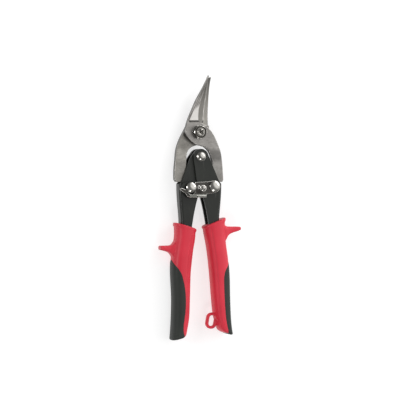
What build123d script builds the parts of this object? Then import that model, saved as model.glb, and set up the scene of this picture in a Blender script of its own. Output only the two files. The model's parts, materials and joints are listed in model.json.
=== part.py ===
from build123d import *
import math
import os

# Aviation snips, compound action, shown closed.  Millimetres.
# X is across the tool, Y runs from the grips to the jaw tips, Z runs up along the pivot axes.
# Z = 0 is the bench that the tool lies on; the front face of the tool looks up.

# ---- heights ----------------------------------------------------------------
MID = 10.5          # mid-plane of the mechanism above the bench; the blades lap on it
SHEET = 2.2         # handle sheet
CHANNEL = 13.0      # outside depth of a handle channel
OFFSET = 1.15       # each channel sits this far off the mid-plane, one up and one down
TAIL_HALF = 3.0     # half thickness of the blade tails
BOSS = 5.5          # thickness of each blade at the main pivot
LAP_GAP = 0.06      # half of the play between the blades

RIGHT_TOP = MID + OFFSET + CHANNEL / 2
RIGHT_BOTTOM = RIGHT_TOP - CHANNEL
LEFT_TOP = MID - OFFSET + CHANNEL / 2
LEFT_BOTTOM = LEFT_TOP - CHANNEL

# ---- pivots -----------------------------------------------------------------
MAIN = (-2.2, 71.4)         # blade to blade
JOINT = (-0.9, 48.4)        # handle to handle
LEFT_PIN = (-11.1, 19.2)    # left tail to left handle
RIGHT_PIN = (11.7, 20.2)    # right tail to right handle
BOLT_R = 4.0
RIVET_R = 2.6
RUN = 0.05                  # radial running clearance
OPEN_RUN = 0.2              # radial clearance of the left tail on its rivet

# ---- blades -----------------------------------------------------------------
SWEEP_FLAT = 26.0           # the lap face is flat inside this radius about the main pivot
SWEEP_END = 56.0
SWEEP_RISE = 6.0            # and rises this much at the tips
STEP_Y = 81.6               # the front boss steps down to the jaw here
JOG_TOP = 57.0              # the tails start to ease over to the mid-plane
JOG_END = 42.0
EYE_R = 5.2                 # tail eye
FACET = 4.0                 # height of the ground facet beside the front boss
JAW_FALL = 0.13             # the forged face of the front jaw falls towards its edge
RIDGE_FALL = 0.45           # the back jaw falls away outside its ridge

# ---- grips ------------------------------------------------------------------
GRIP_HALF = 10.5            # flats front and back
GRIP_CROWN = 10.9           # half depth of the oval before the flats
INLAY = 1.5                 # thickness of the soft panels
LEFT_INLAY_EDGE = 1.8       # x of each panel's front edge from the grip's centreline
RIGHT_INLAY_EDGE = 0.4
OVAL_POWER = 2.5
STEEL_END = -98.0           # lower end of the handle steel inside the grips

# (y, centre x, half width) of each grip section
LEFT_SECTIONS = (
    (-7.0, -14.4, 10.9), (-22.0, -14.6, 10.0), (-38.0, -16.8, 9.5), (-56.0, -18.7, 9.4),
    (-80.0, -18.8, 8.5), (-104.0, -19.4, 8.0), (-130.0, -22.4, 7.0),
)
RIGHT_SECTIONS = (
    (-2.0, 13.2, 10.9), (-18.0, 14.0, 10.1), (-36.0, 16.0, 9.2), (-56.0, 18.6, 9.2),
    (-80.0, 20.2, 8.6), (-102.0, 21.8, 7.8), (-126.0, 25.2, 6.6),
)

# (y, outer x, inner x) of the handle steel inside each grip, both measured from SPINE_X
SPINE_X = -0.95
LEFT_STEEL = ((-18.0, 18.4, 8.2), (-40.0, 20.8, 11.2), (-62.0, 22.6, 13.2), (-80.0, 22.7, 13.3),
              (STEEL_END, 22.8, 13.4))
RIGHT_STEEL = ((-18.0, 18.4, 8.2), (-40.0, 21.6, 11.4), (-62.0, 24.4, 14.6), (-80.0, 25.8, 16.0),
               (STEEL_END, 27.0, 17.2))


def curve(*points):
    return Spline(*points)


def chain(*points):
    return Polyline(*points)


def ease(start, end):
    """An S-shaped run that is level at both ends."""
    return Spline(start, end, tangents=((1, 0), (1, 0)))


def plate(edges, z0, z1):
    """A flat plate from a closed run of edges."""
    pieces = []
    for item in edges:
        pieces.extend(item.edges())
    face = make_face(pieces)
    return Pos(0, 0, z0) * extrude(face, z1 - z0, dir=(0, 0, 1))


def disc(centre, radius, z0, z1):
    return Pos(centre[0], centre[1], (z0 + z1) / 2) * Cylinder(radius, z1 - z0)


def ring(centre, outer, inner, z0, z1):
    return disc(centre, outer, z0, z1) - disc(centre, inner, z0 - 1, z1 + 1)


def turned(centre, profile):
    """A solid of revolution about an upright axis; profile is (radius, z) points."""
    face = Plane.XZ * make_face(Polyline(*profile, close=True).edges())
    return Pos(centre[0], centre[1], 0) * revolve(face, Axis.Z)


def rivet(centre, shank, back, front):
    """A shank with a domed head at each end.

    back and front are (head radius, height of the seat, dome height, rim height) and shank is a
    list of (radius, z) steps between the two seats.
    """
    back_r, back_z, back_h, back_rim = back
    front_r, front_z, front_h, front_rim = front

    def shoulder(radius, seat, height, rim, way):
        rise = height - rim
        ball = (radius ** 2 + rise ** 2) / (2 * rise)
        half = math.asin(radius / ball) / 2
        return (ball * math.sin(half), seat + way * (height - ball + ball * math.cos(half)))

    low = (0, back_z - back_h)
    low_rim = (back_r, back_z - back_rim)
    high_rim = (front_r, front_z + front_rim)
    high = (0, front_z + front_h)
    lines = ThreePointArc(low, shoulder(back_r, back_z, back_h, back_rim, -1), low_rim)
    lines += Polyline(low_rim, (back_r, back_z), *shank, (front_r, front_z), high_rim)
    lines += ThreePointArc(high_rim, shoulder(front_r, front_z, front_h, front_rim, 1), high)
    lines += Line(high, low)
    return Pos(centre[0], centre[1], 0) * revolve(Plane.XZ * make_face(lines.edges()), Axis.Z)


def side_cut(edges, fall=0.0):
    """A prism across the whole tool from a closed (y, z) outline; its faces fall this much per mm of x."""
    face = Plane.YZ * make_face([edge for item in edges for edge in item.edges()])
    reach = 60
    return Pos(-reach, 0, reach * fall) * extrude(face, 2 * reach * math.hypot(1, fall), dir=(1, 0, -fall))


def lap_height(radius):
    """Height of the lap face above the mid-plane."""
    if radius <= SWEEP_FLAT:
        return 0.0
    return SWEEP_RISE * ((radius - SWEEP_FLAT) / (SWEEP_END - SWEEP_FLAT)) ** 2


def lap_region(above, gap):
    """Everything above, or below, the lap face: a surface of revolution about the main pivot."""
    far = 40.0 if above else -40.0
    stations = [SWEEP_FLAT + k * (SWEEP_END - SWEEP_FLAT) / 5 for k in range(6)]
    steepest = 2 * SWEEP_RISE / (SWEEP_END - SWEEP_FLAT)
    rise = Spline(*[(r, MID + gap + lap_height(r)) for r in stations], tangents=((1, 0), (1, steepest)))
    start = (0, MID + gap)
    flat_end = (SWEEP_FLAT, MID + gap)
    tip = (SWEEP_END, MID + gap + SWEEP_RISE)
    corner = (SWEEP_END, MID + far)
    axis_end = (0, MID + far)
    lines = Line(start, flat_end) + rise + Line(tip, corner) + Line(corner, axis_end)
    lines += Line(axis_end, start)
    body = Pos(MAIN[0], MAIN[1], 0) * revolve(Plane.XZ * make_face(lines.edges()), Axis.Z)
    keep = Pos(0, JOG_TOP + 50, MID) * Box(200, 100, 200)
    return body & keep


# ---- blades -----------------------------------------------------------------
def front_outline():
    jaw = curve((5.9, 125.0), (1.4, 113.2), (-3.9, 103.3), (-9.7, 90.5), (-13.3, 81.6), (-15.0, 75.0))
    boss = curve((-15.0, 75.0), (-15.3, 70.2), (-12.5, 65.5), (-8.5, 61.8), (-4.6, 59.6), (0.3, 58.4),
                 (4.2, 56.6), (7.4, 53.3), (9.8, 49.0), (11.2, 43.0), (11.2, 36.0), (9.4, 30.0),
                 (6.9, 24.0))
    low = (RIGHT_PIN[0] - EYE_R * 0.8, RIGHT_PIN[1] - EYE_R * 0.6)
    under = (RIGHT_PIN[0], RIGHT_PIN[1] - EYE_R)
    side = (RIGHT_PIN[0] + EYE_R, RIGHT_PIN[1])
    eye = Line((6.9, 24.0), (RIGHT_PIN[0] - EYE_R, RIGHT_PIN[1]))
    eye += ThreePointArc((RIGHT_PIN[0] - EYE_R, RIGHT_PIN[1]), low, under)
    eye += ThreePointArc(under, (RIGHT_PIN[0] + EYE_R * 0.7071, RIGHT_PIN[1] - EYE_R * 0.7071), side)
    shoulder = chain(side, (16.4, 22.6), (17.4, 24.6), (21.6, 24.6), (22.5, 26.4))
    outer = curve((22.5, 26.4), (22.0, 36.0), (20.9, 46.0), (18.9, 54.0), (16.2, 61.0), (12.6, 68.6),
                  (7.2, 75.4))
    edge = chain((7.2, 75.4), (-2.1, STEP_Y), (-2.3, 85.3))
    cut = curve((-2.3, 85.3), (-1.5, 94.3), (2.4, 109.0), (7.2, 124.6))
    return [jaw, boss, eye, shoulder, outer, edge, cut, Line((7.2, 124.6), (5.9, 125.0))]


def back_outline():
    jaw = curve((10.3, 123.8), (9.4, 113.0), (8.9, 98.0), (8.6, 87.0), (9.2, 76.4))
    boss = curve((9.2, 76.4), (10.4, 70.0), (9.4, 64.6), (5.6, 60.8), (-0.5, 59.4), (-6.2, 58.2),
                 (-10.6, 55.2), (-13.0, 50.5), (-13.9, 43.0), (-13.6, 36.0), (-11.2, 30.0),
                 (-7.2, 24.4))
    inner = (LEFT_PIN[0] + EYE_R, LEFT_PIN[1])
    under = (LEFT_PIN[0], LEFT_PIN[1] - EYE_R)
    side = (LEFT_PIN[0] - EYE_R, LEFT_PIN[1])
    half = EYE_R * 0.7071
    eye = Line((-7.2, 24.4), inner)
    eye += ThreePointArc(inner, (LEFT_PIN[0] + half, LEFT_PIN[1] - half), under)
    eye += ThreePointArc(under, (LEFT_PIN[0] - half, LEFT_PIN[1] - half), side)
    shoulder = chain(side, (-17.4, 24.4), (-23.6, 24.4), (-25.2, 26.4))
    outer = curve((-25.2, 26.4), (-25.2, 36.0), (-24.2, 46.0), (-22.2, 57.0), (-19.7, 64.1),
                  (-14.8, 73.6), (-11.0, 80.5), (-4.2, 86.0))
    cut = curve((-4.2, 86.0), (-3.4, 94.3), (0.6, 109.0), (6.2, 122.8))
    return [jaw, boss, eye, shoulder, outer, cut, Line((6.2, 122.8), (10.3, 123.8))]


def make_front_blade():
    z = MID
    outline = plate(front_outline(), z - 8, z + 20)
    body = outline & side_cut((
        chain((0, z + TAIL_HALF), (0, z - TAIL_HALF), (JOG_END, z - TAIL_HALF)),
        ease((JOG_END, z - TAIL_HALF), (JOG_TOP, z + LAP_GAP)),
        chain((JOG_TOP, z + LAP_GAP), (JOG_TOP, z - 1), (STEP_Y + 0.6, z - 1), (STEP_Y + 0.6, z + FACET),
              (STEP_Y - 0.4, z + BOSS), (JOG_TOP, z + BOSS)),
        ease((JOG_END, z + TAIL_HALF), (JOG_TOP, z + BOSS)),
        chain((JOG_END, z + TAIL_HALF), (0, z + TAIL_HALF))))
    forged = side_cut((
        curve((STEP_Y, z + 1.7), (89.0, z + 2.8), (96.6, z + FACET), (103.0, z + 4.9), (108.0, z + 5.4),
              (113.0, z + 6.0), (118.5, z + 7.0), (125.0, z + 8.6), (140.0, z + 13.0)),
        chain((140.0, z + 13.0), (140.0, z - 20), (STEP_Y, z - 20), (STEP_Y, z + 1.7))), JAW_FALL)
    ground = side_cut((
        chain((STEP_Y, z - 20), (99.0, z - 20), (99.0, z + FACET), (STEP_Y, z + FACET), (STEP_Y, z - 20)),))
    body += outline & (forged + ground)
    body -= lap_region(False, LAP_GAP)
    body -= disc(MAIN, BOLT_R + RUN, 0, 30)
    body -= disc(RIGHT_PIN, RIVET_R + RUN, 0, 30)
    return body


def make_back_blade():
    z = MID
    body = plate(back_outline(), z - 12, z + 12)
    body &= side_cut((
        chain((JOG_END, z + TAIL_HALF), (0, z + TAIL_HALF), (0, z - TAIL_HALF), (JOG_END, z - TAIL_HALF)),
        ease((JOG_END, z - TAIL_HALF), (JOG_TOP, z - BOSS)),
        chain((JOG_TOP, z - BOSS), (84, z - BOSS), (92, z - 4.9), (101, z - 3.5), (110, z - 1.7),
              (118, z + 0.4), (125, z + 2.6), (140, z + 5.6), (140, z + 12), (JOG_TOP, z + 12),
              (JOG_TOP, z - LAP_GAP)),
        ease((JOG_END, z + TAIL_HALF), (JOG_TOP, z - LAP_GAP))))
    body -= side_cut((
        curve((78, z + 1.1), (85, z + 1.45), (92.5, z + 1.7), (100, z + 2.25), (107, z + 3.3),
              (114, z + 4.9), (119, z + 6.4), (123, z + 8.0), (130, z + 11.2)),
        chain((130, z + 11.2), (130, z + 60), (78, z + 60), (78, z + 1.1))), RIDGE_FALL)
    body -= lap_region(True, -LAP_GAP)
    body -= disc(MAIN, BOLT_R + RUN, 0, 30)
    body -= disc(LEFT_PIN, RIVET_R + OPEN_RUN, 0, 30)
    return body


# ---- main pivot ---------------------------------------------------------------
NUT_ACROSS = 11.3
NUT_T = 5.0
HEAD_ACROSS = 11.0
FLANGE_R = 7.0
FLANGE_T = 1.4
WASHER_T = 1.0
CORNER_CUT = 0.9            # height of the turned chamfer on the hexagon's corners


def hexagon(across, z0, z1, chamfer_top):
    """A hexagon on the main pivot, its corners turned off at one end."""
    body = plate([RegularPolygon(across / 2, 6, major_radius=False).edges()], z0, z1)
    out = across / math.sqrt(3) + 1
    if chamfer_top:
        profile = ((0, z0), (out, z0), (out, z1 - CORNER_CUT - 0.4), (across / 2, z1), (0, z1))
    else:
        profile = ((0, z0), (across / 2, z0), (out, z0 + CORNER_CUT + 0.4), (out, z1), (0, z1))
    return Pos(MAIN[0], MAIN[1], 0) * (body & turned((0, 0), profile))


def make_pivot_bolt():
    seat = MID - BOSS
    flange = disc(MAIN, FLANGE_R, seat - FLANGE_T, seat)
    head = hexagon(HEAD_ACROSS, 0, seat - FLANGE_T, False)
    end = MID + BOSS + WASHER_T + NUT_T + 1.0
    lead = 0.7
    shank = turned(MAIN, ((0, seat - 1), (BOLT_R, seat - 1), (BOLT_R, end - lead), (BOLT_R - lead, end),
                          (0, end)))
    return flange + head + shank


def make_pivot_washer():
    z0 = MID + BOSS
    body = ring(MAIN, 6.6, BOLT_R + RUN, z0, z0 + WASHER_T)
    teeth = 12
    notch = Pos(6.5, 0, 0) * Box(1.1, 1.5, 4)
    for k in range(teeth):
        body -= Pos(MAIN[0], MAIN[1], z0) * Rot(0, 0, 360.0 * k / teeth) * notch
    return body


def make_pivot_nut():
    z0 = MID + BOSS + WASHER_T
    return hexagon(NUT_ACROSS, z0, z0 + NUT_T, True) - disc(MAIN, BOLT_R + RUN, 0, 40)


# ---- handles --------------------------------------------------------------------
HEAD_R = 7.3
BEND_R = 2.8
RIGHT_NEAR = math.radians(15)     # the round head runs into the flank at this angle
LEFT_NEAR = math.radians(38)
LEFT_FLANK = ((10.0, 46.5), (13.6, 37.0))
WEB_TOP = 22.6        # the outer web starts here
LONG_EDGE_X = 17.0


def handle_point(sign, x, y):
    return (SPINE_X + sign * x, y)


def handle_outer(sign, inset):
    """The outer side of a handle from its shoulder down, moved in by inset."""
    steel = RIGHT_STEEL if sign > 0 else LEFT_STEEL
    points = [handle_point(sign, 20.6 - inset, WEB_TOP), handle_point(sign, 19.4 - inset, 0.0)]
    points += [handle_point(sign, outer - inset, y) for y, outer, inner in steel]
    return points


def handle_envelope(sign, top):
    """Outside of one handle channel, filled.  sign is +1 for the right handle."""
    steel = RIGHT_STEEL if sign > 0 else LEFT_STEEL
    x, y = JOINT
    slant = HEAD_R * math.sqrt(0.5)
    crown = (x, y + HEAD_R)
    far = (x - sign * HEAD_R, y)
    angle = RIGHT_NEAR if sign > 0 else LEFT_NEAR
    near = (x + sign * HEAD_R * math.cos(angle), y + HEAD_R * math.sin(angle))
    bulge = [] if sign > 0 else [handle_point(sign, *point) for point in LEFT_FLANK]
    head = ThreePointArc(far, (x - sign * slant, y + slant), crown)
    middle = (math.pi / 2 + angle) / 2
    between = (x + sign * HEAD_R * math.cos(middle), y + HEAD_R * math.sin(middle))
    head += ThreePointArc(crown, between, near)
    outer = handle_outer(sign, 0)
    flank = chain(near, *bulge, handle_point(sign, 17.4, 26.2), handle_point(sign, 18.9, 24.0), outer[0])
    inner = [handle_point(sign, inner_x, low_y) for low_y, outer_x, inner_x in reversed(steel)]
    inner += [handle_point(sign, 5.6, -3.0), handle_point(sign, 2.8, 8.5)]
    lap = chain(inner[-1], handle_point(sign, 1.4, 13.0), handle_point(sign, -4.2, 26.0), far)
    heel = chain(outer[-1], inner[0])
    body = plate([head, flank, curve(*outer), heel, curve(*inner), lap], top - CHANNEL, top)
    long_edges = [e for e in body.edges().filter_by(GeomType.BSPLINE)
                  if sign * (e.center().X - SPINE_X) > LONG_EDGE_X and e.length > 60]
    return fillet(long_edges, BEND_R)


def make_handle(sign, top):
    outer = handle_outer(sign, SHEET)
    last = outer[-1]
    outer[-1] = (last[0], last[1] - 2)
    around = chain(outer[-1], handle_point(sign, -30, last[1] - 2), handle_point(sign, -30, 70),
                   handle_point(sign, 30, 70), handle_point(sign, 30, WEB_TOP), outer[0])
    inside = plate([curve(*outer), around], top - CHANNEL + SHEET, top - SHEET)
    pin = RIGHT_PIN if sign > 0 else LEFT_PIN
    body = handle_envelope(sign, top) - inside
    body -= disc(JOINT, RIVET_R + RUN, 0, 30)
    return body - disc(pin, RIVET_R + RUN, 0, 30)


# ---- rivets and spacers -----------------------------------------------------------
RIVET_HEAD_R = 4.5
HEAD_PLAY = 0.02
LATCH_T = 2.0
LATCH_Z = RIGHT_TOP + 0.1
KEEPER_NECK_R = 3.0


def make_handle_rivet():
    low = LEFT_BOTTOM - HEAD_PLAY
    high = RIGHT_TOP + HEAD_PLAY
    return rivet(JOINT, ((RIVET_R, low), (RIVET_R, high)), (RIVET_HEAD_R, low, 1.7, 0.5),
                 (RIVET_HEAD_R, high, 2.6, 0.8))


def make_spring_bush():
    reach = LEFT_TOP - SHEET - MID - 0.05
    return ring(JOINT, 3.8, RIVET_R + RUN, MID - reach, MID + reach)


def make_right_tail_rivet():
    low = RIGHT_BOTTOM - HEAD_PLAY
    high = LATCH_Z + LATCH_T + 0.6
    return rivet(RIGHT_PIN, ((RIVET_R, low), (RIVET_R, high)), (RIVET_HEAD_R, low, 1.7, 0.5),
                 (4.9, high, 2.1, 0.7))


def make_left_tail_rivet():
    low = LEFT_BOTTOM - HEAD_PLAY
    high = LATCH_Z + LATCH_T + 0.15
    steps = ((RIVET_R, low), (RIVET_R, RIGHT_TOP), (KEEPER_NECK_R, RIGHT_TOP), (KEEPER_NECK_R, high))
    return rivet(LEFT_PIN, steps, (RIVET_HEAD_R, low, 1.7, 0.5), (4.8, high, 2.3, 0.8))


def make_left_tail_spacer():
    return ring(LEFT_PIN, 4.5, RIVET_R + RUN, LEFT_BOTTOM + SHEET + 0.02, MID - TAIL_HALF - 0.05)


def make_right_tail_spacer():
    return ring(RIGHT_PIN, 4.5, RIVET_R + RUN, MID + TAIL_HALF + 0.05, RIGHT_TOP - SHEET - 0.02)


# ---- opening spring ------------------------------------------------------------------
WIRE = 1.7
COIL_R = 4.8
TURNS = 2.5
PITCH = 1.74


def spring_leg(points, z):
    path = FilletPolyline(*[(x, y, z) for x, y in points], radius=2.0)
    return sweep(Plane(path @ 0, z_dir=path % 0) * Circle(WIRE / 2), path)


def make_opening_spring():
    """Torsion spring: close coils round the bush, one leg down each handle to its web."""
    height = PITCH * TURNS
    spine = Pos(JOINT[0], JOINT[1], MID - height / 2) * Helix(PITCH, height, COIL_R)
    body = sweep(Plane(spine @ 0, z_dir=spine % 0) * Circle(WIRE / 2), spine, is_frenet=True)
    start = spine @ 0
    end = spine @ 1
    body += spring_leg([(start.X, start.Y), (start.X, 37.0), (3.4, 14.0), (5.4, 7.0), (14.0, 1.5)], start.Z)
    body += spring_leg([(end.X, end.Y), (end.X, 37.0), (-3.6, 14.0), (-6.4, 7.0), (-16.0, 1.5)], end.Z)
    return body


# ---- latch --------------------------------------------------------------------------
LATCH_EYE_R = 5.7
TAB_RISE = 4.4          # the lower edge is folded up as a thumb tab
DIMPLES = ((0.9, 18.6, 2.5, 0.9), (-3.3, 19.6, 1.2, 0.6))   # pressed bumps: x, y, radius, height
LATCH_LIFT = 9.0        # the hook stands this many degrees below its engaged position


def make_latch():
    """Flat hook that swings on the right rivet and catches the neck of the left rivet."""
    lift = math.radians(LATCH_LIFT)
    dx = LEFT_PIN[0] - RIGHT_PIN[0]
    dy = LEFT_PIN[1] - RIGHT_PIN[1]
    seat = (RIGHT_PIN[0] + dx * math.cos(lift) - dy * math.sin(lift),
            RIGHT_PIN[1] + dx * math.sin(lift) + dy * math.cos(lift))
    body = plate([chain((11.0, 25.8), (5.0, 24.9), (-7.3, 24.3), (-7.3, 15.0), (-14.0, 15.0),
                        (-14.3, 16.8), (-20.6, 18.9), (-22.0, 18.2), (-21.4, 16.8), (-16.6, 13.6),
                        (-14.4, 10.6), (-12.0, 9.8), (3.4, 9.8), (4.6, 13.3), (9.0, 13.6), (12.5, 14.6),
                        (11.0, 25.8))],
                 LATCH_Z, LATCH_Z + LATCH_T)
    body += disc(RIGHT_PIN, LATCH_EYE_R, LATCH_Z, LATCH_Z + LATCH_T)
    body -= disc(seat, KEEPER_NECK_R + 0.1, LATCH_Z - 1, LATCH_Z + LATCH_T + 1)
    body -= disc(RIGHT_PIN, RIVET_R + RUN, 0, 40)
    for x, y, radius, height in DIMPLES:
        ball = (radius ** 2 + height ** 2) / (2 * height)
        body += Pos(x, y, LATCH_Z + LATCH_T + height - ball) * Sphere(ball) & disc(
            (x, y), radius + 1, LATCH_Z + 0.5, LATCH_Z + LATCH_T + height + 1)
    thumb = Pos(-1.0, 10.8, LATCH_Z + TAB_RISE / 2) * Box(8.8, 2.0, TAB_RISE)
    return body + fillet(thumb.edges().filter_by(Axis.Y), 0.7)


def make_latch_washer():
    z0 = LATCH_Z + LATCH_T + 0.05
    return ring(RIGHT_PIN, 4.4, RIVET_R + RUN, z0, z0 + 0.5)


def make_keeper_plate():
    """Spacer plate on the left handle that lifts the hook to the level of the right handle."""
    shape = chain((-21.9, 19.6), (-18.0, 23.6), (-12.3, 25.3), (-7.0, 24.6), (-6.2, 20.0),
                  (-7.0, 14.8), (-12.0, 12.8), (-17.0, 14.0), (-21.9, 19.6))
    body = plate([shape], LEFT_TOP + 0.05, RIGHT_TOP - 0.05)
    return body - disc(LEFT_PIN, RIVET_R + RUN, 0, 40)


# ---- grips -----------------------------------------------------------------------------
def oval(y, x, half_w, half_d):
    """A rounded-square section across the grip at height y."""
    count = 12
    points = []
    for k in range(count):
        a = 2 * math.pi * (k + 0.5) / count
        c = math.cos(a)
        s = math.sin(a)
        scale = (abs(c) ** OVAL_POWER + abs(s) ** OVAL_POWER) ** (-1 / OVAL_POWER)
        points.append(Vector(x + half_w * c * scale, y, MID + half_d * s * scale))
    return Face(Wire([Edge.make_spline(points, periodic=True)]))


def grip_body(sections, shrink):
    faces = [oval(y, x, w - shrink, GRIP_CROWN - shrink) for y, x, w in sections]
    return loft(faces)


def trimmed(body, half, top_line, end_line):
    """Flat front and back, slanted collar and slanted end."""
    outline = chain(top_line[0], top_line[1], end_line[1], end_line[0], top_line[0])
    return body & plate([outline], MID - half, MID + half)


def inlay_region(sections, sign):
    """Outer half of the grip, drawn in plan, tapering to a point at its upper end."""
    out = 40 * sign
    shift = RIGHT_INLAY_EDGE if sign > 0 else LEFT_INLAY_EDGE
    upper, lower = -62, -112
    line = [(x + shift, y) for y, x, w in sections if lower < y < upper]
    top = [((28.5 if sign > 0 else -28.9), -49.0), ((24.0 if sign > 0 else -24.6), -54.5),
           ((21.0 if sign > 0 else -19.6), -61.5)]
    last = (sections[-1][1] + shift, sections[-1][0] - 3)
    edge = curve(*top, *line, last)
    around = chain(last, (out, last[1]), (out, -49.0), top[0])
    return plate([edge, around], MID - 15, MID + 15)


def make_grip(sign):
    right = sign > 0
    sections = RIGHT_SECTIONS if right else LEFT_SECTIONS
    if right:
        top_line = ((40, -2.6), (-2, -20.2))
        end_line = ((44, -124.6), (6, -111.2))
    else:
        top_line = ((-40, -9.2), (0, -21.0))
        end_line = ((-40, -127.4), (-6, -119.1))
    outer = trimmed(grip_body(sections, 0), GRIP_HALF, top_line, end_line)
    core = grip_body(sections, INLAY)
    region = inlay_region(sections, sign)
    inlay = (outer & region) - core
    grip = outer - inlay
    if right:
        guard = plate([curve((20.0, -9.0), (23.6, -14.5), (27.5, -17.6), (39.2, -18.6)),
                       chain((39.2, -18.6), (39.4, -21.6)),
                       curve((39.4, -21.6), (31.0, -23.6), (26.4, -28.5), (22.0, -36.0)),
                       chain((22.0, -36.0), (20.0, -9.0))], MID - 5.5, MID + 5.5)
        loop = loop_shape()
    else:
        guard = plate([curve((-21.0, -26.0), (-24.5, -32.0), (-28.0, -34.9), (-39.0, -35.4)),
                       chain((-39.0, -35.4), (-39.4, -40.2)),
                       curve((-39.4, -40.2), (-31.5, -42.6), (-28.3, -46.2), (-24.0, -52.0)),
                       chain((-24.0, -52.0), (-21.0, -26.0))], MID - 5.5, MID + 5.5)
        loop = None
    grip += guard - inlay
    if loop is not None:
        grip += loop
    top = RIGHT_TOP if right else LEFT_TOP
    grip -= handle_envelope(sign, top)
    return grip, inlay


LOOP_AT = (11.3, -106.5)
LOOP_HOLE = (5.2, 10.2)
LOOP_WALL = 2.7
LOOP_TILT = 80              # degrees from X to the slot's long axis


def loop_shape():
    outer = SlotCenterToCenter(LOOP_HOLE[1] - LOOP_HOLE[0], LOOP_HOLE[0] + 2 * LOOP_WALL)
    inner = SlotCenterToCenter(LOOP_HOLE[1] - LOOP_HOLE[0], LOOP_HOLE[0])
    body = extrude(outer - inner, 3, both=True)
    return Pos(LOOP_AT[0], LOOP_AT[1], MID) * Rot(0, 0, LOOP_TILT) * body


def main():
    os.makedirs("parts", exist_ok=True)
    right_grip, right_inlay = make_grip(1)
    left_grip, left_inlay = make_grip(-1)
    nodes = {
        "front_blade": make_front_blade(),
        "back_blade": make_back_blade(),
        "pivot_bolt": make_pivot_bolt(),
        "pivot_lock_washer": make_pivot_washer(),
        "pivot_nut": make_pivot_nut(),
        "right_handle": make_handle(1, RIGHT_TOP),
        "left_handle": make_handle(-1, LEFT_TOP),
        "handle_rivet": make_handle_rivet(),
        "spring_bush": make_spring_bush(),
        "opening_spring": make_opening_spring(),
        "left_tail_rivet": make_left_tail_rivet(),
        "right_tail_rivet": make_right_tail_rivet(),
        "left_tail_spacer": make_left_tail_spacer(),
        "right_tail_spacer": make_right_tail_spacer(),
        "latch_hook": make_latch(),
        "latch_washer": make_latch_washer(),
        "latch_rest_plate": make_keeper_plate(),
        "right_grip": right_grip,
        "right_grip_inlay": right_inlay,
        "left_grip": left_grip,
        "left_grip_inlay": left_inlay,
    }
    for name, solid in nodes.items():
        solid.label = name
        export_step(solid, f"parts/{name}.step")
        print(name, len(solid.solids()), round(solid.volume, 1), solid.is_valid)


main()
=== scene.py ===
import json
import math

import bmesh
import bpy
from mathutils import Matrix, Vector


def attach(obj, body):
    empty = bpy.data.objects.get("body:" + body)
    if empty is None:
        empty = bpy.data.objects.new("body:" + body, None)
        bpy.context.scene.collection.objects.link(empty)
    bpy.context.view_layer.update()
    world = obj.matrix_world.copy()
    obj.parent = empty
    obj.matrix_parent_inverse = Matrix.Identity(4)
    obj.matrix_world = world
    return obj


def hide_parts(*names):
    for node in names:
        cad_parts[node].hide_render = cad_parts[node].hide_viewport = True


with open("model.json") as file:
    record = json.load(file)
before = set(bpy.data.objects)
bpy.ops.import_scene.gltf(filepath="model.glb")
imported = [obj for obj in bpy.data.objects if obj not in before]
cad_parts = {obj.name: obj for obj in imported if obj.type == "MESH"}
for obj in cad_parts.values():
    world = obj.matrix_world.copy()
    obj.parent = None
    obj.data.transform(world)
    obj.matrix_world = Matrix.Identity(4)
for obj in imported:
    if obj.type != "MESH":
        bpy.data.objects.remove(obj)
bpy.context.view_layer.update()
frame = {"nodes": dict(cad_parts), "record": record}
NODES = frame["nodes"]

# ---------------------------------------------------------------------------
# driving dimensions, in mm
# ---------------------------------------------------------------------------
MM = 0.001
MID = 10.5                  # mid-plane of the mechanism above the bench
MAIN = (-2.2, 71.4)         # main pivot
BOLT_TOP = MID + 12.5       # end of the pivot bolt
STEP_Y = 81.6               # the front blade's boss ends here and the ground facet begins
FACET_Z = MID + 4.0         # height of the ground facet
FACET_DIR = (0.911, 0.413)  # the facet's outer edge runs along this direction in y and x
LATCH_FACE = MID + 9.75     # front face of the latch

GRIP_DEPTH = 10.45          # half depth of a grip
GRIP_POWER = 2.7            # squareness of its section
RIM_HEIGHT = 3.1            # collar at its top
RIM_PROUD = 0.8
END_ROUND = 2.6             # rounding of its lower edge
AROUND = 120                # points round a grip

GUARD_POWER = 4.5
GUARD_AROUND = 48

PANEL_PROUD = 0.22          # a soft panel stands this far out of the moulding
PANEL_SUNK = 1.1            # its inner side lies this deep
PANEL_DIP = 0.65            # its edges dive this far under the moulding's skin
PANEL_ROLL = 0.5            # reach of the rolled edge
END_COVER = 0.18            # it covers the grip's end face by this much
END_SHELL = 0.9             # and reaches this far into it

LOOP_TILT = math.radians(80)
LOOP_R = 3.95               # middle line of the band round the slot's ends
LOOP_STRAIGHT = 2.5         # half length of the slot's straight sides
LOOP_BAND = (1.35, 3.0)     # half width and half depth of the band

FINE = 0.00004              # depths of bump, in metres
MEDIUM = 0.00006
COARSE = 0.00008


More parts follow.
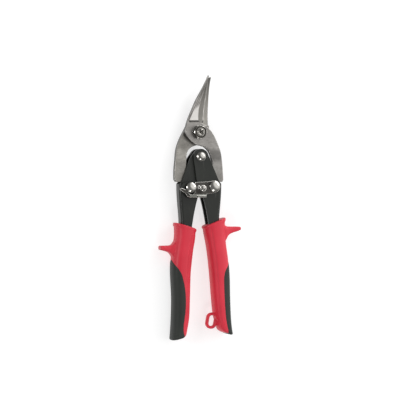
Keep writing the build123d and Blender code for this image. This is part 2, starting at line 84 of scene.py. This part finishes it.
# ---------------------------------------------------------------------------
# node helpers
# ---------------------------------------------------------------------------
class Mat:
    """A small wrapper round a material's node tree."""

    def __init__(self, name, color, metallic=0.0, roughness=0.5):
        self.mat = bpy.data.materials.new(name)
        self.mat.use_nodes = True
        self.tree = self.mat.node_tree
        self.tree.nodes.clear()
        self.out = self.node("ShaderNodeOutputMaterial")
        self.bsdf = self.node("ShaderNodeBsdfPrincipled")
        self.link(self.bsdf.outputs[0], self.out.inputs["Surface"])
        self.bsdf.inputs["Base Color"].default_value = (*color, 1)
        self.bsdf.inputs["Metallic"].default_value = metallic
        self.bsdf.inputs["Roughness"].default_value = roughness
        self.coord = self.node("ShaderNodeTexCoord").outputs["Object"]
        self.normal = None

    def node(self, kind, **values):
        made = self.tree.nodes.new(kind)
        for key, value in values.items():
            setattr(made, key, value)
        return made

    def link(self, a, b):
        self.tree.links.new(a, b)

    def noise(self, vector, scale, detail=4.0, rough=0.5):
        made = self.node("ShaderNodeTexNoise")
        made.inputs["Scale"].default_value = scale
        made.inputs["Detail"].default_value = detail
        made.inputs["Roughness"].default_value = rough
        self.link(vector, made.inputs["Vector"])
        return made.outputs["Fac"]

    def cloud(self, scale, detail=4.0, rough=0.5):
        """Even noise over the object."""
        return self.noise(self.coord, scale, detail, rough)

    def streaks(self, scale, turn):
        """Noise stretched along one direction, turned about the upright axis."""
        mapping = self.node("ShaderNodeMapping")
        mapping.inputs["Scale"].default_value = scale
        mapping.inputs["Rotation"].default_value = (0, 0, turn)
        self.link(self.coord, mapping.inputs["Vector"])
        return self.noise(mapping.outputs[0], 1.0, 3.0)

    def pebbles(self, scale):
        made = self.node("ShaderNodeTexVoronoi", feature="F1")
        made.inputs["Scale"].default_value = scale
        self.link(self.coord, made.inputs["Vector"])
        return made.outputs["Distance"]

    def spread(self, value, low, high, to_low, to_high):
        """A range of a value brought to another range, and held at its ends."""
        made = self.node("ShaderNodeMapRange")
        for key, number in (("From Min", low), ("From Max", high), ("To Min", to_low), ("To Max", to_high)):
            made.inputs[key].default_value = number
        self.link(value, made.inputs["Value"])
        return made.outputs[0]

    def past(self, value, start, end):
        """A mask that comes up between two places in mm."""
        return self.spread(value, start * MM, end * MM, 0.0, 1.0)

    def before(self, value, start, end):
        """A mask that goes down between two places in mm."""
        return self.spread(value, start * MM, end * MM, 1.0, 0.0)

    def calc(self, operation, a, b=0.0):
        made = self.node("ShaderNodeMath", operation=operation)
        for socket, value in ((made.inputs[0], a), (made.inputs[1], b)):
            if isinstance(value, float):
                socket.default_value = value
            else:
                self.link(value, socket)
        return made.outputs[0]

    def both(self, a, b):
        return self.calc("MULTIPLY", a, b)

    def mix_color(self, factor, a, b):
        made = self.node("ShaderNodeMix", data_type="RGBA")
        self.link(factor, made.inputs["Factor"])
        for socket, value in ((made.inputs[6], a), (made.inputs[7], b)):
            if isinstance(value, tuple):
                socket.default_value = (*value, 1)
            else:
                self.link(value, socket)
        return made.outputs[2]

    def axis(self, name):
        """One object coordinate, in metres."""
        made = self.node("ShaderNodeSeparateXYZ")
        self.link(self.coord, made.inputs[0])
        return made.outputs[name]

    def upright(self):
        """How far the surface faces up or down: 1 on flats, 0 on walls."""
        made = self.node("ShaderNodeSeparateXYZ")
        self.link(self.node("ShaderNodeTexCoord").outputs["Normal"], made.inputs[0])
        return self.calc("ABSOLUTE", made.outputs["Z"])

    def color(self, socket):
        self.link(socket, self.bsdf.inputs["Base Color"])

    def roughness(self, socket):
        self.link(socket, self.bsdf.inputs["Roughness"])

    def bump(self, height, strength, distance):
        """One more layer of bump on top of the earlier ones."""
        made = self.node("ShaderNodeBump")
        made.inputs["Strength"].default_value = strength
        made.inputs["Distance"].default_value = distance
        self.link(height, made.inputs["Height"])
        if self.normal is not None:
            self.link(self.normal, made.inputs["Normal"])
        self.normal = made.outputs[0]
        self.link(self.normal, self.bsdf.inputs["Normal"])


def shade(value):
    """sRGB 0-255 to linear."""
    out = []
    for v in value:
        c = v / 255.0
        out.append(c / 12.92 if c <= 0.04045 else ((c + 0.055) / 1.055) ** 2.4)
    return tuple(out)


def dim(color, share):
    return tuple(c * share for c in color)


# ---------------------------------------------------------------------------
# materials
# ---------------------------------------------------------------------------
def ground_jaw(m, tone, streak, dark, light):
    """The front jaw: a slope painted dark as painted shade, with a hatched stretch, and a ground facet
    below it painted light as a painted highlight.
    """
    x, y, z = (m.axis(name) for name in "XYZ")
    jaw = m.past(y, STEP_Y + 0.1, STEP_Y + 0.5)
    level = m.both(m.before(z, FACET_Z + 0.02, FACET_Z + 0.5), m.past(z, FACET_Z - 0.5, FACET_Z - 0.05))
    across = m.calc("SUBTRACT", m.both(x, FACET_DIR[0]), m.both(y, FACET_DIR[1]))
    facet = m.both(m.both(jaw, level), m.past(across, -44.7, -43.9))
    ripple = m.calc("SINE", m.both(across, 2 * math.pi / (1.35 * MM)))
    hatched = m.both(m.past(y, 88.5, 93.0), m.before(y, 101.0, 107.0))
    # painted shade: the jaw beyond the step is darker, for its slope facing away from the light
    shaded_slope = m.mix_color(jaw, tone, dim(dark, 0.62))
    shaded_slope = m.mix_color(m.both(m.spread(ripple, -0.6, 0.8, 0.0, 0.75), hatched), shaded_slope, dim(light, 1.5))
    # painted highlight: the ground facet's light colour, for a face turned to the light
    painted_highlight = m.mix_color(m.spread(streak, 0.3, 0.8, 0.0, 0.5), (0.68, 0.66, 0.63), (0.56, 0.54, 0.515))
    m.bump(m.both(ripple, hatched), 0.5, COARSE)
    return m.mix_color(facet, shaded_slope, painted_highlight)


def blade_steel(name, dark, light, rough, grain_turn, ground=False):
    """Forged steel with a lengthwise grain; the walls are painted darker than the flats as painted shade.
    """
    m = Mat(name, light, metallic=0.9, roughness=rough)
    streak = m.streaks((260, 2400, 900), grain_turn)
    tone = m.mix_color(m.spread(m.cloud(75.0, 5.0, 0.6), 0.34, 0.66, 0.0, 1.0), dark, light)
    tone = m.mix_color(m.spread(streak, 0.3, 0.75, 0.0, 0.4), tone, dim(dark, 0.68))
    tone = m.mix_color(m.spread(m.cloud(520.0, 3.0, 0.6), 0.56, 0.72, 0.0, 0.45), tone, dim(dark, 0.5))
    if ground:
        tone = ground_jaw(m, tone, streak, dark, light)
    else:
        # painted shade: the back jaw, beyond y 80 to 90 mm, is darker where it lies lower in shadow
        tone = m.mix_color(m.past(m.axis("Y"), 80.0, 90.0), tone, dim(light, 0.62))
    # painted shade: walls, which face away from the light, get a darker colour than the flats
    flat = m.spread(m.upright(), 0.35, 0.75, 0.0, 1.0)
    m.color(m.mix_color(flat, dim(dark, 0.42), tone))
    m.roughness(m.spread(streak, 0.25, 0.75, rough - 0.07, rough + 0.1))
    m.bump(streak, 0.25, FINE)
    m.bump(m.cloud(900.0, 2.0), 0.25, MEDIUM)
    return m.mat


def black_coat():
    """Black powder coat with a fine orange peel and a few pale scuffs."""
    m = Mat("black_powder_coat", shade((30, 32, 29)), metallic=0.0, roughness=0.36)
    m.bsdf.inputs["Specular IOR Level"].default_value = 0.32
    cloud = m.cloud(45.0)
    scuff = m.streaks((500, 60, 500), 0.12)
    base = m.mix_color(m.spread(cloud, 0.3, 0.7, 0.0, 1.0), shade((24, 26, 23)), shade((37, 39, 35)))
    m.color(m.mix_color(m.spread(scuff, 0.62, 0.78, 0.0, 0.35), base, shade((84, 84, 78))))
    m.roughness(m.spread(cloud, 0.3, 0.7, 0.3, 0.42))
    m.bump(m.cloud(2300.0, 2.0), 0.35, MEDIUM)
    return m.mat


def plated(name, tint, rough):
    """Bright plating with a slightly cloudy tone and shine."""
    m = Mat(name, tint, metallic=1.0, roughness=rough)
    cloud = m.cloud(160.0)
    m.color(m.mix_color(m.spread(cloud, 0.35, 0.65, 0.0, 1.0), dim(tint, 0.8), tint))
    m.roughness(m.spread(cloud, 0.3, 0.7, rough - 0.05, rough + 0.09))
    m.bump(m.cloud(1300.0, 2.0), 0.15, FINE)
    return m.mat


def black_oxide():
    """Dark fasteners whose turned chamfers and thread crests are painted light as a painted highlight."""
    tint = shade((70, 68, 64))
    m = Mat("black_oxide", tint, metallic=1.0, roughness=0.24)
    cloud = m.cloud(160.0)
    base = m.mix_color(m.spread(cloud, 0.35, 0.65, 0.0, 1.0), dim(tint, 0.5), tint)
    up = m.upright()
    # painted highlight: sloping faces, the chamfers and thread crests, get a light colour
    slope = m.both(m.spread(up, 0.5, 0.62, 0.0, 1.0), m.spread(up, 0.9, 0.97, 1.0, 0.0))
    m.color(m.mix_color(slope, base, shade((208, 205, 198))))
    m.roughness(m.spread(cloud, 0.3, 0.7, 0.16, 0.3))
    m.bump(m.cloud(1300.0, 2.0), 0.15, FINE)
    return m.mat


def edge_highlight(name, tint, rough):
    """The chamfer round the blades, painted light as a painted highlight, and painted dark as painted shade
    in the step below the ground facet.
    """
    m = Mat(name, tint, metallic=1.0, roughness=rough)
    y = m.axis("Y")
    step = m.both(m.past(y, STEP_Y - 1.6, STEP_Y - 1.0), m.before(y, STEP_Y + 0.8, STEP_Y + 1.2))
    middle = m.past(m.axis("X"), -12.4, -11.8)
    # painted highlight on the chamfer, with a cloudy tone
    highlight_tone = m.mix_color(m.spread(m.cloud(240.0), 0.35, 0.65, 0.0, 1.0), dim(tint, 0.6), tint)
    # painted shade: the step below the ground facet, right of x -12 mm, is nearly black
    m.color(m.mix_color(m.both(step, middle), highlight_tone, dim(tint, 0.12)))
    return m.mat


def latch_plate():
    """Dark plated sheet, painted light on its pressed bumps as a painted highlight, with a lighter grey on
    its lower edge and its thumb tab.
    """
    dark, painted_highlight = shade((76, 74, 71)), shade((158, 156, 151))
    edge, tab = shade((110, 111, 106)), shade((112, 113, 108))
    m = Mat("latch_plate", dark, metallic=1.0, roughness=0.27)
    cloud = m.cloud(210.0)
    z = m.axis("Z")
    tone = m.mix_color(m.spread(cloud, 0.38, 0.62, 0.0, 1.0), dim(dark, 0.45), dark)
    # painted highlight: the pressed bumps, standing above the face, get a light colour
    tone = m.mix_color(m.past(z, LATCH_FACE + 0.25, LATCH_FACE + 0.8), tone, painted_highlight)
    strip = m.both(m.before(m.axis("Y"), 12.9, 13.3), m.past(m.axis("X"), -12.4, -11.9))
    tone = m.mix_color(strip, tone, edge)
    m.color(m.mix_color(m.past(z, LATCH_FACE + 1.2, LATCH_FACE + 1.3), tone, tab))
    m.roughness(m.spread(cloud, 0.3, 0.7, 0.2, 0.34))
    m.bump(m.cloud(1300.0, 2.0), 0.2, 0.00005)
    return m.mat


def moulded(name, low, high, rough, grain, depth):
    """Moulded plastic or rubber with a pebbled skin."""
    m = Mat(name, high, metallic=0.0, roughness=rough)
    m.bsdf.inputs["Specular IOR Level"].default_value = 0.35
    cloud = m.cloud(35.0, 3.0)
    m.color(m.mix_color(m.spread(cloud, 0.3, 0.7, 0.0, 1.0), low, high))
    m.roughness(m.spread(cloud, 0.3, 0.7, rough - 0.05, rough + 0.06))
    m.bump(m.pebbles(grain), 0.4, depth)
    return m.mat


MAT = {
    "front": blade_steel("front_blade_steel", shade((134, 131, 127)), shade((166, 163, 159)),
                         0.34, 0.5, ground=True),
    "back": blade_steel("back_blade_steel", shade((128, 125, 119)), shade((158, 155, 149)), 0.36, -0.3),
    "black": black_coat(),
    "plated": plated("bright_plate", shade((184, 182, 176)), 0.15),
    "dark": black_oxide(),
    "latch": latch_plate(),
    "spring": plated("spring_wire", shade((120, 119, 114)), 0.3),
    # the three edge materials are painted highlights: light colours on the bevelled edges
    "blade_edge": edge_highlight("blade_edge", shade((186, 183, 178)), 0.32),
    "oxide_edge": plated("fastener_edge_highlight", shade((196, 193, 186)), 0.22),
    "latch_edge": plated("latch_edge", shade((226, 224, 218)), 0.2),
    "red": moulded("red_moulding", shade((198, 38, 56)), shade((216, 50, 68)), 0.42, 2400.0, FINE),
    "soft": moulded("soft_panel", shade((31, 34, 31)), shade((43, 46, 42)), 0.55, 1700.0, COARSE),
}
NODE_MAT = {
    "front_blade": "front", "back_blade": "back", "pivot_bolt": "dark", "pivot_lock_washer": "plated",
    "pivot_nut": "dark", "right_handle": "black", "left_handle": "black", "handle_rivet": "plated",
    "spring_bush": "plated", "opening_spring": "spring", "left_tail_rivet": "plated",
    "right_tail_rivet": "plated", "left_tail_spacer": "plated", "right_tail_spacer": "plated",
    "latch_hook": "latch", "latch_washer": "plated", "latch_rest_plate": "black", "right_grip": "red",
    "left_grip": "red", "right_grip_inlay": "soft", "left_grip_inlay": "soft",
}


# ---------------------------------------------------------------------------
# rounded edges on the metal parts
# ---------------------------------------------------------------------------
# node: (bevel width, sharpest angle left alone in degrees, material of the bevelled edge or None,
# whether the bevel may run over short edges)
EDGES = {
    "front_blade": (0.5, 20, "blade_edge", True), "back_blade": (0.38, 18, "blade_edge", True),
    "right_handle": (0.3, 35, None, False), "left_handle": (0.3, 35, None, False),
    "latch_hook": (0.36, 35, "latch_edge", True), "latch_rest_plate": (0.25, 35, None, True),
    "pivot_nut": (0.3, 25, "oxide_edge", False), "pivot_bolt": (0.3, 30, "oxide_edge", False),
    "pivot_lock_washer": (0.12, 35, None, False),
}
WELD_GAP = 0.002
FLAT_ANGLE = math.radians(0.6)      # facets this close to level are joined before the bevel


def round_edges(obj, width, limit, edge, free):
    weld = obj.modifiers.new("weld", "WELD")
    weld.merge_threshold = WELD_GAP * MM
    flats = obj.modifiers.new("flats", "DECIMATE")
    flats.decimate_type = "DISSOLVE"
    flats.angle_limit = FLAT_ANGLE
    bevel = obj.modifiers.new("bevel", "BEVEL")
    bevel.width = width * MM
    bevel.segments = 2
    bevel.limit_method = "ANGLE"
    bevel.angle_limit = math.radians(limit)
    bevel.use_clamp_overlap = not free
    # the bevel faces take the edge material, a painted highlight
    if edge:
        obj.data.materials.append(MAT[edge])
        bevel.material = 1
    even = obj.modifiers.new("even", "WEIGHTED_NORMAL")
    even.weight = 80
    even.keep_sharp = False


for node_name, node in NODES.items():
    node.data.materials.clear()
    node.data.materials.append(MAT[NODE_MAT[node_name]])
    if node_name in EDGES:
        round_edges(node, *EDGES[node_name])


# ---------------------------------------------------------------------------
# mesh helpers: lengths in mm, turned to metres when the mesh is made
# ---------------------------------------------------------------------------
def new_object(name, verts, faces, mat):
    mesh = bpy.data.meshes.new(name)
    mesh.from_pydata([(x * MM, y * MM, z * MM) for x, y, z in verts], [], faces)
    bm = bmesh.new()
    bm.from_mesh(mesh)
    bmesh.ops.remove_doubles(bm, verts=bm.verts, dist=1e-7)
    bmesh.ops.recalc_face_normals(bm, faces=bm.faces)
    bm.to_mesh(mesh)
    bm.free()
    for poly in mesh.polygons:
        poly.use_smooth = True
    obj = bpy.data.objects.new(name, mesh)
    bpy.context.scene.collection.objects.link(obj)
    mesh.materials.append(MAT[mat])
    return obj


def tube(rings, caps=True, loop=False):
    """Vertices and faces of a skin over rings of equal length."""
    verts = [p for ring in rings for p in ring]
    n = len(rings[0])
    count = len(rings)
    faces = []
    for i in range(count if loop else count - 1):
        j = (i + 1) % count
        for k in range(n):
            m = (k + 1) % n
            faces.append((i * n + k, i * n + m, j * n + m, j * n + k))
    if caps and not loop:
        faces.append(tuple(range(n)))
        faces.append(tuple((count - 1) * n + k for k in range(n)))
    return verts, faces


def merged(parts):
    verts, faces = [], []
    for part_verts, part_faces in parts:
        base = len(verts)
        verts += part_verts
        faces += [tuple(i + base for i in face) for face in part_faces]
    return verts, faces


def apply_modifiers(obj):
    depsgraph = bpy.context.evaluated_depsgraph_get()
    mesh = bpy.data.meshes.new_from_object(obj.evaluated_get(depsgraph))
    old = obj.data
    obj.modifiers.clear()
    obj.data = mesh
    bpy.data.meshes.remove(old)
    for poly in obj.data.polygons:
        poly.use_smooth = True


def follow(table, y, column):
    """Smooth interpolation down a table whose first column is y, falling."""
    rows = len(table)
    if y >= table[0][0]:
        return table[0][column]
    if y <= table[-1][0]:
        return table[-1][column]
    i = next(k for k in range(rows - 1) if table[k][0] >= y >= table[k + 1][0])

    def slope(k):
        low, high = max(k - 1, 0), min(k + 1, rows - 1)
        return (table[high][column] - table[low][column]) / (table[high][0] - table[low][0])

    y0, y1 = table[i][0], table[i + 1][0]
    t = (y - y0) / (y1 - y0)
    v0, v1 = table[i][column], table[i + 1][column]
    m0, m1 = slope(i) * (y1 - y0), slope(i + 1) * (y1 - y0)
    return ((2 * t ** 3 - 3 * t ** 2 + 1) * v0 + (t ** 3 - 2 * t ** 2 + t) * m0
            + (3 * t ** 2 - 2 * t ** 3) * v1 + (t ** 3 - t ** 2) * m1)


def smoothstep(low, high, value):
    t = min(1.0, max(0.0, (value - low) / (high - low)))
    return t * t * (3 - 2 * t)


def oval(angle, half_w, half_d, power):
    """A point of a rounded rectangle; a higher power makes it squarer."""
    c, s = math.cos(angle), math.sin(angle)
    scale = (abs(c) ** power + abs(s) ** power) ** (-1 / power)
    return half_w * c * scale, half_d * s * scale


# ---------------------------------------------------------------------------
# grips
# ---------------------------------------------------------------------------
# sign: -1 for the left side of the tool
# table: y, centre x, half width, slant of the section (rise per mm of x)
# guard: x, upper edge, lower edge, half depth, from the finger guard's tip inwards
# panel: y, half angle that the soft panel wraps, in degrees from the outer side
GRIPS = {
    "left": {
        "sign": -1,
        "table": ((-16.6, -14.7, 10.1, -0.30), (-28, -15.0, 9.5, -0.2), (-38, -16.6, 9.5, -0.1),
                  (-50, -18.2, 9.7, 0.0), (-62, -18.9, 9.2, 0.0), (-84, -18.7, 8.3, 0.05),
                  (-104, -19.3, 8.1, 0.14), (-116, -20.6, 7.5, 0.21), (-123, -21.6, 7.1, 0.25)),
        "guard": ((-39.3, -35.4, -39.5, 5.4), (-36.0, -35.3, -40.1, 5.5), (-33.0, -35.3, -40.9, 5.5),
                  (-30.6, -35.2, -41.9, 5.6), (-28.7, -34.9, -43.6, 5.9), (-27.6, -34.3, -45.6, 6.3),
                  (-26.2, -32.8, -48.0, 6.6), (-24.4, -30.0, -50.6, 6.8), (-20.0, -28.0, -53.0, 6.8)),
        "panel": ((-48.2, 2), (-50.5, 26), (-53.0, 44), (-57.0, 66), (-63.5, 88), (-73.0, 101),
                  (-86, 110), (-97, 109), (-110, 104), (-118, 114), (-124, 140)),
    },
    "right": {
        "sign": 1,
        "table": ((-12.9, 13.6, 10.3, 0.40), (-22, 14.2, 9.7, 0.25), (-33, 15.6, 9.1, 0.1),
                  (-47, 17.6, 9.2, 0.0), (-63, 19.2, 9.1, 0.0), (-84, 20.3, 8.5, -0.05),
                  (-102, 21.6, 7.9, -0.15), (-112, 23.4, 7.1, -0.28), (-118.2, 25.0, 6.7, -0.35)),
        "guard": ((39.3, -17.7, -21.2, 5.4), (36.0, -17.6, -22.2, 5.5), (33.0, -17.6, -23.0, 5.5),
                  (30.6, -17.6, -23.9, 5.6), (28.2, -17.5, -25.1, 5.9), (26.4, -17.4, -27.0, 6.3),
                  (25.1, -17.0, -29.8, 6.6), (23.6, -16.0, -32.5, 6.8), (19.0, -15.0, -36.0, 6.8)),
        "panel": ((-49.4, 2), (-51.5, 26), (-54.5, 50), (-58.6, 70), (-64.0, 82), (-70.0, 86), (-126, 86)),
    },
}
STEP_DOWN = 0.8             # distance between rings along a grip


def grip_point(spec, y, angle, proud):
    """A point of the grip's skin; angle 0 is the outer side and 90 degrees the front."""
    sign = spec["sign"]
    x_mid, half_w, slant = (follow(spec["table"], y, column) for column in (1, 2, 3))
    u, v = oval(angle, half_w + proud, GRIP_DEPTH + min(proud, 0.0), GRIP_POWER)
    return (x_mid + sign * u, y + slant * sign * u, MID + v)


def groove(angle, y, top):
    """The mould's lengthwise groove, beside the inner corner, front and back."""
    degrees = abs(math.degrees(math.atan2(math.sin(angle), math.cos(angle))))
    inner = math.exp(-((degrees - 119) / 3.4) ** 2)
    inner *= smoothstep(top, top - 8, y) * (1 - smoothstep(-104, -110, y))
    return -0.62 * inner


def end_arc(end, steps):
    """(y, proud) of the rings round a grip's lower edge."""
    angles = [math.radians(90 * k / steps) for k in range(steps + 1)]
    return [(end + END_ROUND * (1 - math.sin(a)), -END_ROUND * (1 - math.cos(a))) for a in angles]


def rings_down(spec):
    """(y, proud) from the collar to the rounded end."""
    top = spec["table"][0][0]
    end = spec["table"][-1][0]
    under_rim = top - RIM_HEIGHT
    out = [(top - 0.02, -3.2), (top, -1.4 + RIM_PROUD), (top - 0.25, -0.55 + RIM_PROUD),
           (top - 0.7, -0.12 + RIM_PROUD), (top - 1.2, RIM_PROUD), (under_rim + 0.9, RIM_PROUD),
           (under_rim + 0.35, RIM_PROUD - 0.12), (under_rim, RIM_PROUD * 0.45), (under_rim - 0.35, 0.08)]
    y = under_rim - 0.9
    while y > end + END_ROUND:
        out.append((y, 0.0))
        y -= STEP_DOWN
    return out + end_arc(end, 6)


def grip_mesh(spec):
    under_rim = spec["table"][0][0] - RIM_HEIGHT
    angles = [2 * math.pi * k / AROUND for k in range(AROUND)]
    return tube([[grip_point(spec, y, a, proud + groove(a, y, under_rim)) for a in angles]
                 for y, proud in rings_down(spec)])


def guard_mesh(spec):
    """The finger guard, rounded at its tip."""
    sign = spec["sign"]
    x, high, low, depth = spec["guard"][0]
    stations = [(x - sign * back, high - shrink, low + shrink, depth - shrink)
                for back, shrink in ((0.0, 0.7), (0.1, 0.3), (0.35, 0.06), (0.8, 0.0))]
    coarse = [stations[-1], *spec["guard"][1:]]
    for a, b in zip(coarse, coarse[1:]):
        for k in range(1, 4):
            stations.append(tuple(p + (q - p) * k / 3 for p, q in zip(a, b)))
    skins = []
    for x, high, low, depth in stations:
        outline = [oval(2 * math.pi * k / GUARD_AROUND, (high - low) / 2, depth, GUARD_POWER)
                   for k in range(GUARD_AROUND)]
        skins.append([(x, (high + low) / 2 + u, MID + v) for u, v in outline])
    return tube(skins)


def loop_mesh():
    """The hanging eye: a rounded band round a slot."""
    low, high = frame["record"]["physics"]["openings"][0]["box_m"]
    cx = (low[0] + high[0]) / 2 / MM
    cy = (low[1] + high[1]) / 2 / MM
    cos_tilt, sin_tilt = math.cos(LOOP_TILT), math.sin(LOOP_TILT)
    rings = []
    steps, around = 56, 20
    for i in range(steps):
        a = 2 * math.pi * i / steps
        offset = LOOP_STRAIGHT if math.cos(a) >= 0 else -LOOP_STRAIGHT
        ring = []
        for k in range(around):
            u, v = oval(2 * math.pi * k / around, *LOOP_BAND, 3.0)
            px = offset + (LOOP_R + u) * math.cos(a)
            py = (LOOP_R + u) * math.sin(a)
            ring.append((cx + px * cos_tilt - py * sin_tilt, cy + px * sin_tilt + py * cos_tilt, MID + v))
        rings.append(ring)
    return tube(rings, loop=True)


def moulded_grip(name):
    """The red moulding: grip, finger guard and, on the right, the hanging eye, melted into one skin."""
    spec = GRIPS[name]
    parts = [grip_mesh(spec), guard_mesh(spec)]
    if name == "right":
        parts.append(loop_mesh())
    verts, faces = merged(parts)
    obj = new_object("%s_grip_moulding" % name, verts, faces, "red")
    remesh = obj.modifiers.new("join", "REMESH")
    remesh.mode = "VOXEL"
    remesh.voxel_size = 0.42 * MM
    relax = obj.modifiers.new("relax", "SMOOTH")
    relax.factor = 0.5
    relax.iterations = 5
    apply_modifiers(obj)
    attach(obj, "%s_handle" % name)
    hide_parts("%s_grip" % name)


def panel_columns():
    """Places round a panel from -1 to 1, close together at its rolled edges."""
    near_edge = [0.0, 0.0035, 0.008, 0.014, 0.022, 0.034]
    even = [0.05 + 0.95 * k / 44 for k in range(45)]
    half = [-1 + m for m in near_edge + even]
    return sorted(set(round(v, 5) for v in half + [-v for v in half]))


def panel_stations(top, end):
    """(y, inset, cover, shell) down a panel, close together at its pointed top and round its end."""
    stations = []
    y = top
    while y > end + END_ROUND:
        stations.append((y, 0.0, 0.0, 0.0))
        y -= 0.22 if y > top - 3 else STEP_DOWN
    return stations + [(y, inset, END_COVER, END_SHELL) for y, inset in end_arc(end, 7)]


def toward_chord(point, rim, t, drop):
    """A rim point moved by t across the end face, to the straight edge where the panel stops."""
    a, b = rim[0], rim[-1]
    along = min(max((point[2] - a[2]) / (b[2] - a[2]), 0.0), 1.0)
    goal = tuple(a[k] + along * (b[k] - a[k]) for k in range(3))
    x, y, z = (point[k] + t * (goal[k] - point[k]) for k in range(3))
    return (x, y + drop, z)


def soft_panel(name):
    """The black panel that wraps the outer half of a grip, with rolled edges."""
    spec = GRIPS[name]
    panel = spec["panel"]
    top = panel[0][0]
    columns = panel_columns()
    rings = []
    for y, inset, cover, shell in panel_stations(top, spec["table"][-1][0]):
        wide = math.radians(follow(panel, y, 1))
        outer, under = [], []
        for v in columns:
            from_side = (1 - abs(v)) * wide * 10.0
            near = min(from_side, (top - y) * 0.8) if top - y < 3 else from_side
            lift = PANEL_PROUD - (PANEL_PROUD + PANEL_DIP) * math.exp(-(near / PANEL_ROLL) ** 2)
            outer.append(grip_point(spec, y - cover, v * wide, inset + lift))
            under.append(grip_point(spec, y + shell, v * wide, inset - PANEL_SUNK))
        rings.append(outer + under[::-1])
    for t, drop in ((0.3, 0.0), (0.6, 0.0), (0.85, 0.0), (0.94, 0.03), (0.98, 0.16), (1.0, 0.5)):
        rings.append([toward_chord(p, outer, t, drop) for p in outer]
                     + [toward_chord(p, outer, t, END_SHELL) for p in under[::-1]])
    verts, faces = tube(rings, caps=False)
    count = len(columns)
    for base, flip in ((0, True), ((len(rings) - 1) * 2 * count, False)):
        for j in range(count - 1):
            face = (base + j, base + j + 1, base + 2 * count - 2 - j, base + 2 * count - 1 - j)
            faces.append(face[::-1] if flip else face)
    obj = new_object("%s_soft_panel" % name, verts, faces, "soft")
    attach(obj, "%s_handle" % name)
    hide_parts("%s_grip_inlay" % name)


for side in ("left", "right"):
    moulded_grip(side)
    soft_panel(side)


# ---------------------------------------------------------------------------
# pivot bolt
# ---------------------------------------------------------------------------
def bolt_end():
    """The threaded end of the pivot bolt: a staked rim round a drilled centre."""
    # (radius, height above the bolt's end) from the rim to the centre
    profile = ((3.05, -0.6), (3.05, 0.02), (2.95, 0.3), (2.7, 0.4), (2.35, 0.05), (2.1, -0.05),
               (1.9, 0.1), (1.7, 0.1), (1.45, -0.1), (1.1, -0.3), (0.3, -0.5))
    steps = 72
    angles = [2 * math.pi * k / steps for k in range(steps)]
    rings = [[(MAIN[0] + radius * math.cos(a), MAIN[1] + radius * math.sin(a), BOLT_TOP + rise)
              for a in angles] for radius, rise in profile]
    verts, faces = tube(rings)
    obj = new_object("pivot_bolt_end", verts, faces, "dark")
    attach(obj, "front_blade")


bolt_end()


# ---------------------------------------------------------------------------
# floor, lights and camera, in metres
# ---------------------------------------------------------------------------
FLOOR_HALF = 6.0
FLOOR_Z = -0.0004
# name, place, size, power in watts; each looks at the origin
LIGHTS = (
    ("right_box", (1.15, 0.95, 0.8), (1.6, 0.4), 9.0),
    ("left_box", (-1.1, 0.1, 0.87), (0.42, 0.42), 5.5),
    ("low_box", (-0.06, -1.0, 1.05), (0.32, 0.32), 3.0),
)
CEILING = Vector((0.7, 0.4, 0.72))      # direction of the soft ceiling panel
TURN = math.radians(16)                 # the tool is seen from a little to its left
AIM = Vector((0.3 * MM, 7.5 * MM, MID * MM))
REACH = 2.2
WIDTH = 0.3776                          # width of the view at the tool
SENSOR = 36.0


def make_floor():
    """Plain pale floor that glows a little, so that it stays pale under soft light."""
    mesh = bpy.data.meshes.new("floor")
    corners = ((-1, -1), (1, -1), (1, 1), (-1, 1))
    mesh.from_pydata([(FLOOR_HALF * x, FLOOR_HALF * y, FLOOR_Z) for x, y in corners], [], [(0, 1, 2, 3)])
    floor = bpy.data.objects.new("floor", mesh)
    bpy.context.scene.collection.objects.link(floor)
    m = Mat("floor_paint", (0.42, 0.42, 0.42), roughness=0.95)
    m.bsdf.inputs["Specular IOR Level"].default_value = 0.0
    m.bsdf.inputs["Emission Color"].default_value = (1, 1, 1, 1)
    m.bsdf.inputs["Emission Strength"].default_value = 0.68
    floor.data.materials.append(m.mat)


def area_light(name, place, size, power):
    data = bpy.data.lights.new(name, "AREA")
    data.shape = "RECTANGLE"
    data.size, data.size_y = size
    data.energy = power
    lamp = bpy.data.objects.new(name, data)
    bpy.context.scene.collection.objects.link(lamp)
    lamp.location = place
    lamp.rotation_euler = (-Vector(place)).to_track_quat("-Z", "Y").to_euler()


def make_world():
    """A dim studio with one large soft ceiling panel."""
    world = bpy.data.worlds.new("studio")
    bpy.context.scene.world = world
    world.use_nodes = True
    tree = world.node_tree
    tree.nodes.clear()
    out = tree.nodes.new("ShaderNodeOutputWorld")
    back = tree.nodes.new("ShaderNodeBackground")
    coord = tree.nodes.new("ShaderNodeTexCoord")
    lean = tree.nodes.new("ShaderNodeVectorMath")
    lean.operation = "DOT_PRODUCT"
    lean.inputs[1].default_value = CEILING.normalized()
    ramp = tree.nodes.new("ShaderNodeMapRange")
    ramp.interpolation_type = "SMOOTHSTEP"
    tree.links.new(coord.outputs["Generated"], lean.inputs[0])
    tree.links.new(lean.outputs["Value"], ramp.inputs["Value"])
    for key, value in (("From Min", 0.6), ("From Max", 0.9), ("To Min", 0.25), ("To Max", 1.5)):
        ramp.inputs[key].default_value = value
    back.inputs["Color"].default_value = (1, 1, 1, 1)
    tree.links.new(ramp.outputs[0], back.inputs["Strength"])
    tree.links.new(back.outputs[0], out.inputs[0])


def make_camera():
    data = bpy.data.cameras.new("camera")
    data.sensor_width = SENSOR
    data.lens = SENSOR * REACH / WIDTH
    data.clip_start = 0.05
    data.clip_end = 50
    cam = bpy.data.objects.new("camera", data)
    bpy.context.scene.collection.objects.link(cam)
    back = Vector((-math.sin(TURN), 0, math.cos(TURN)))
    right = Vector((math.cos(TURN), 0, math.sin(TURN)))
    up = Vector((0, 1, 0))
    place = AIM + back * REACH
    cam.matrix_world = Matrix((
        (right.x, up.x, back.x, place.x), (right.y, up.y, back.y, place.y),
        (right.z, up.z, back.z, place.z), (0, 0, 0, 1)))
    bpy.context.scene.camera = cam


make_floor()
make_world()
for light in LIGHTS:
    area_light(*light)
make_camera()
bpy.context.scene.view_settings.view_transform = "Standard"
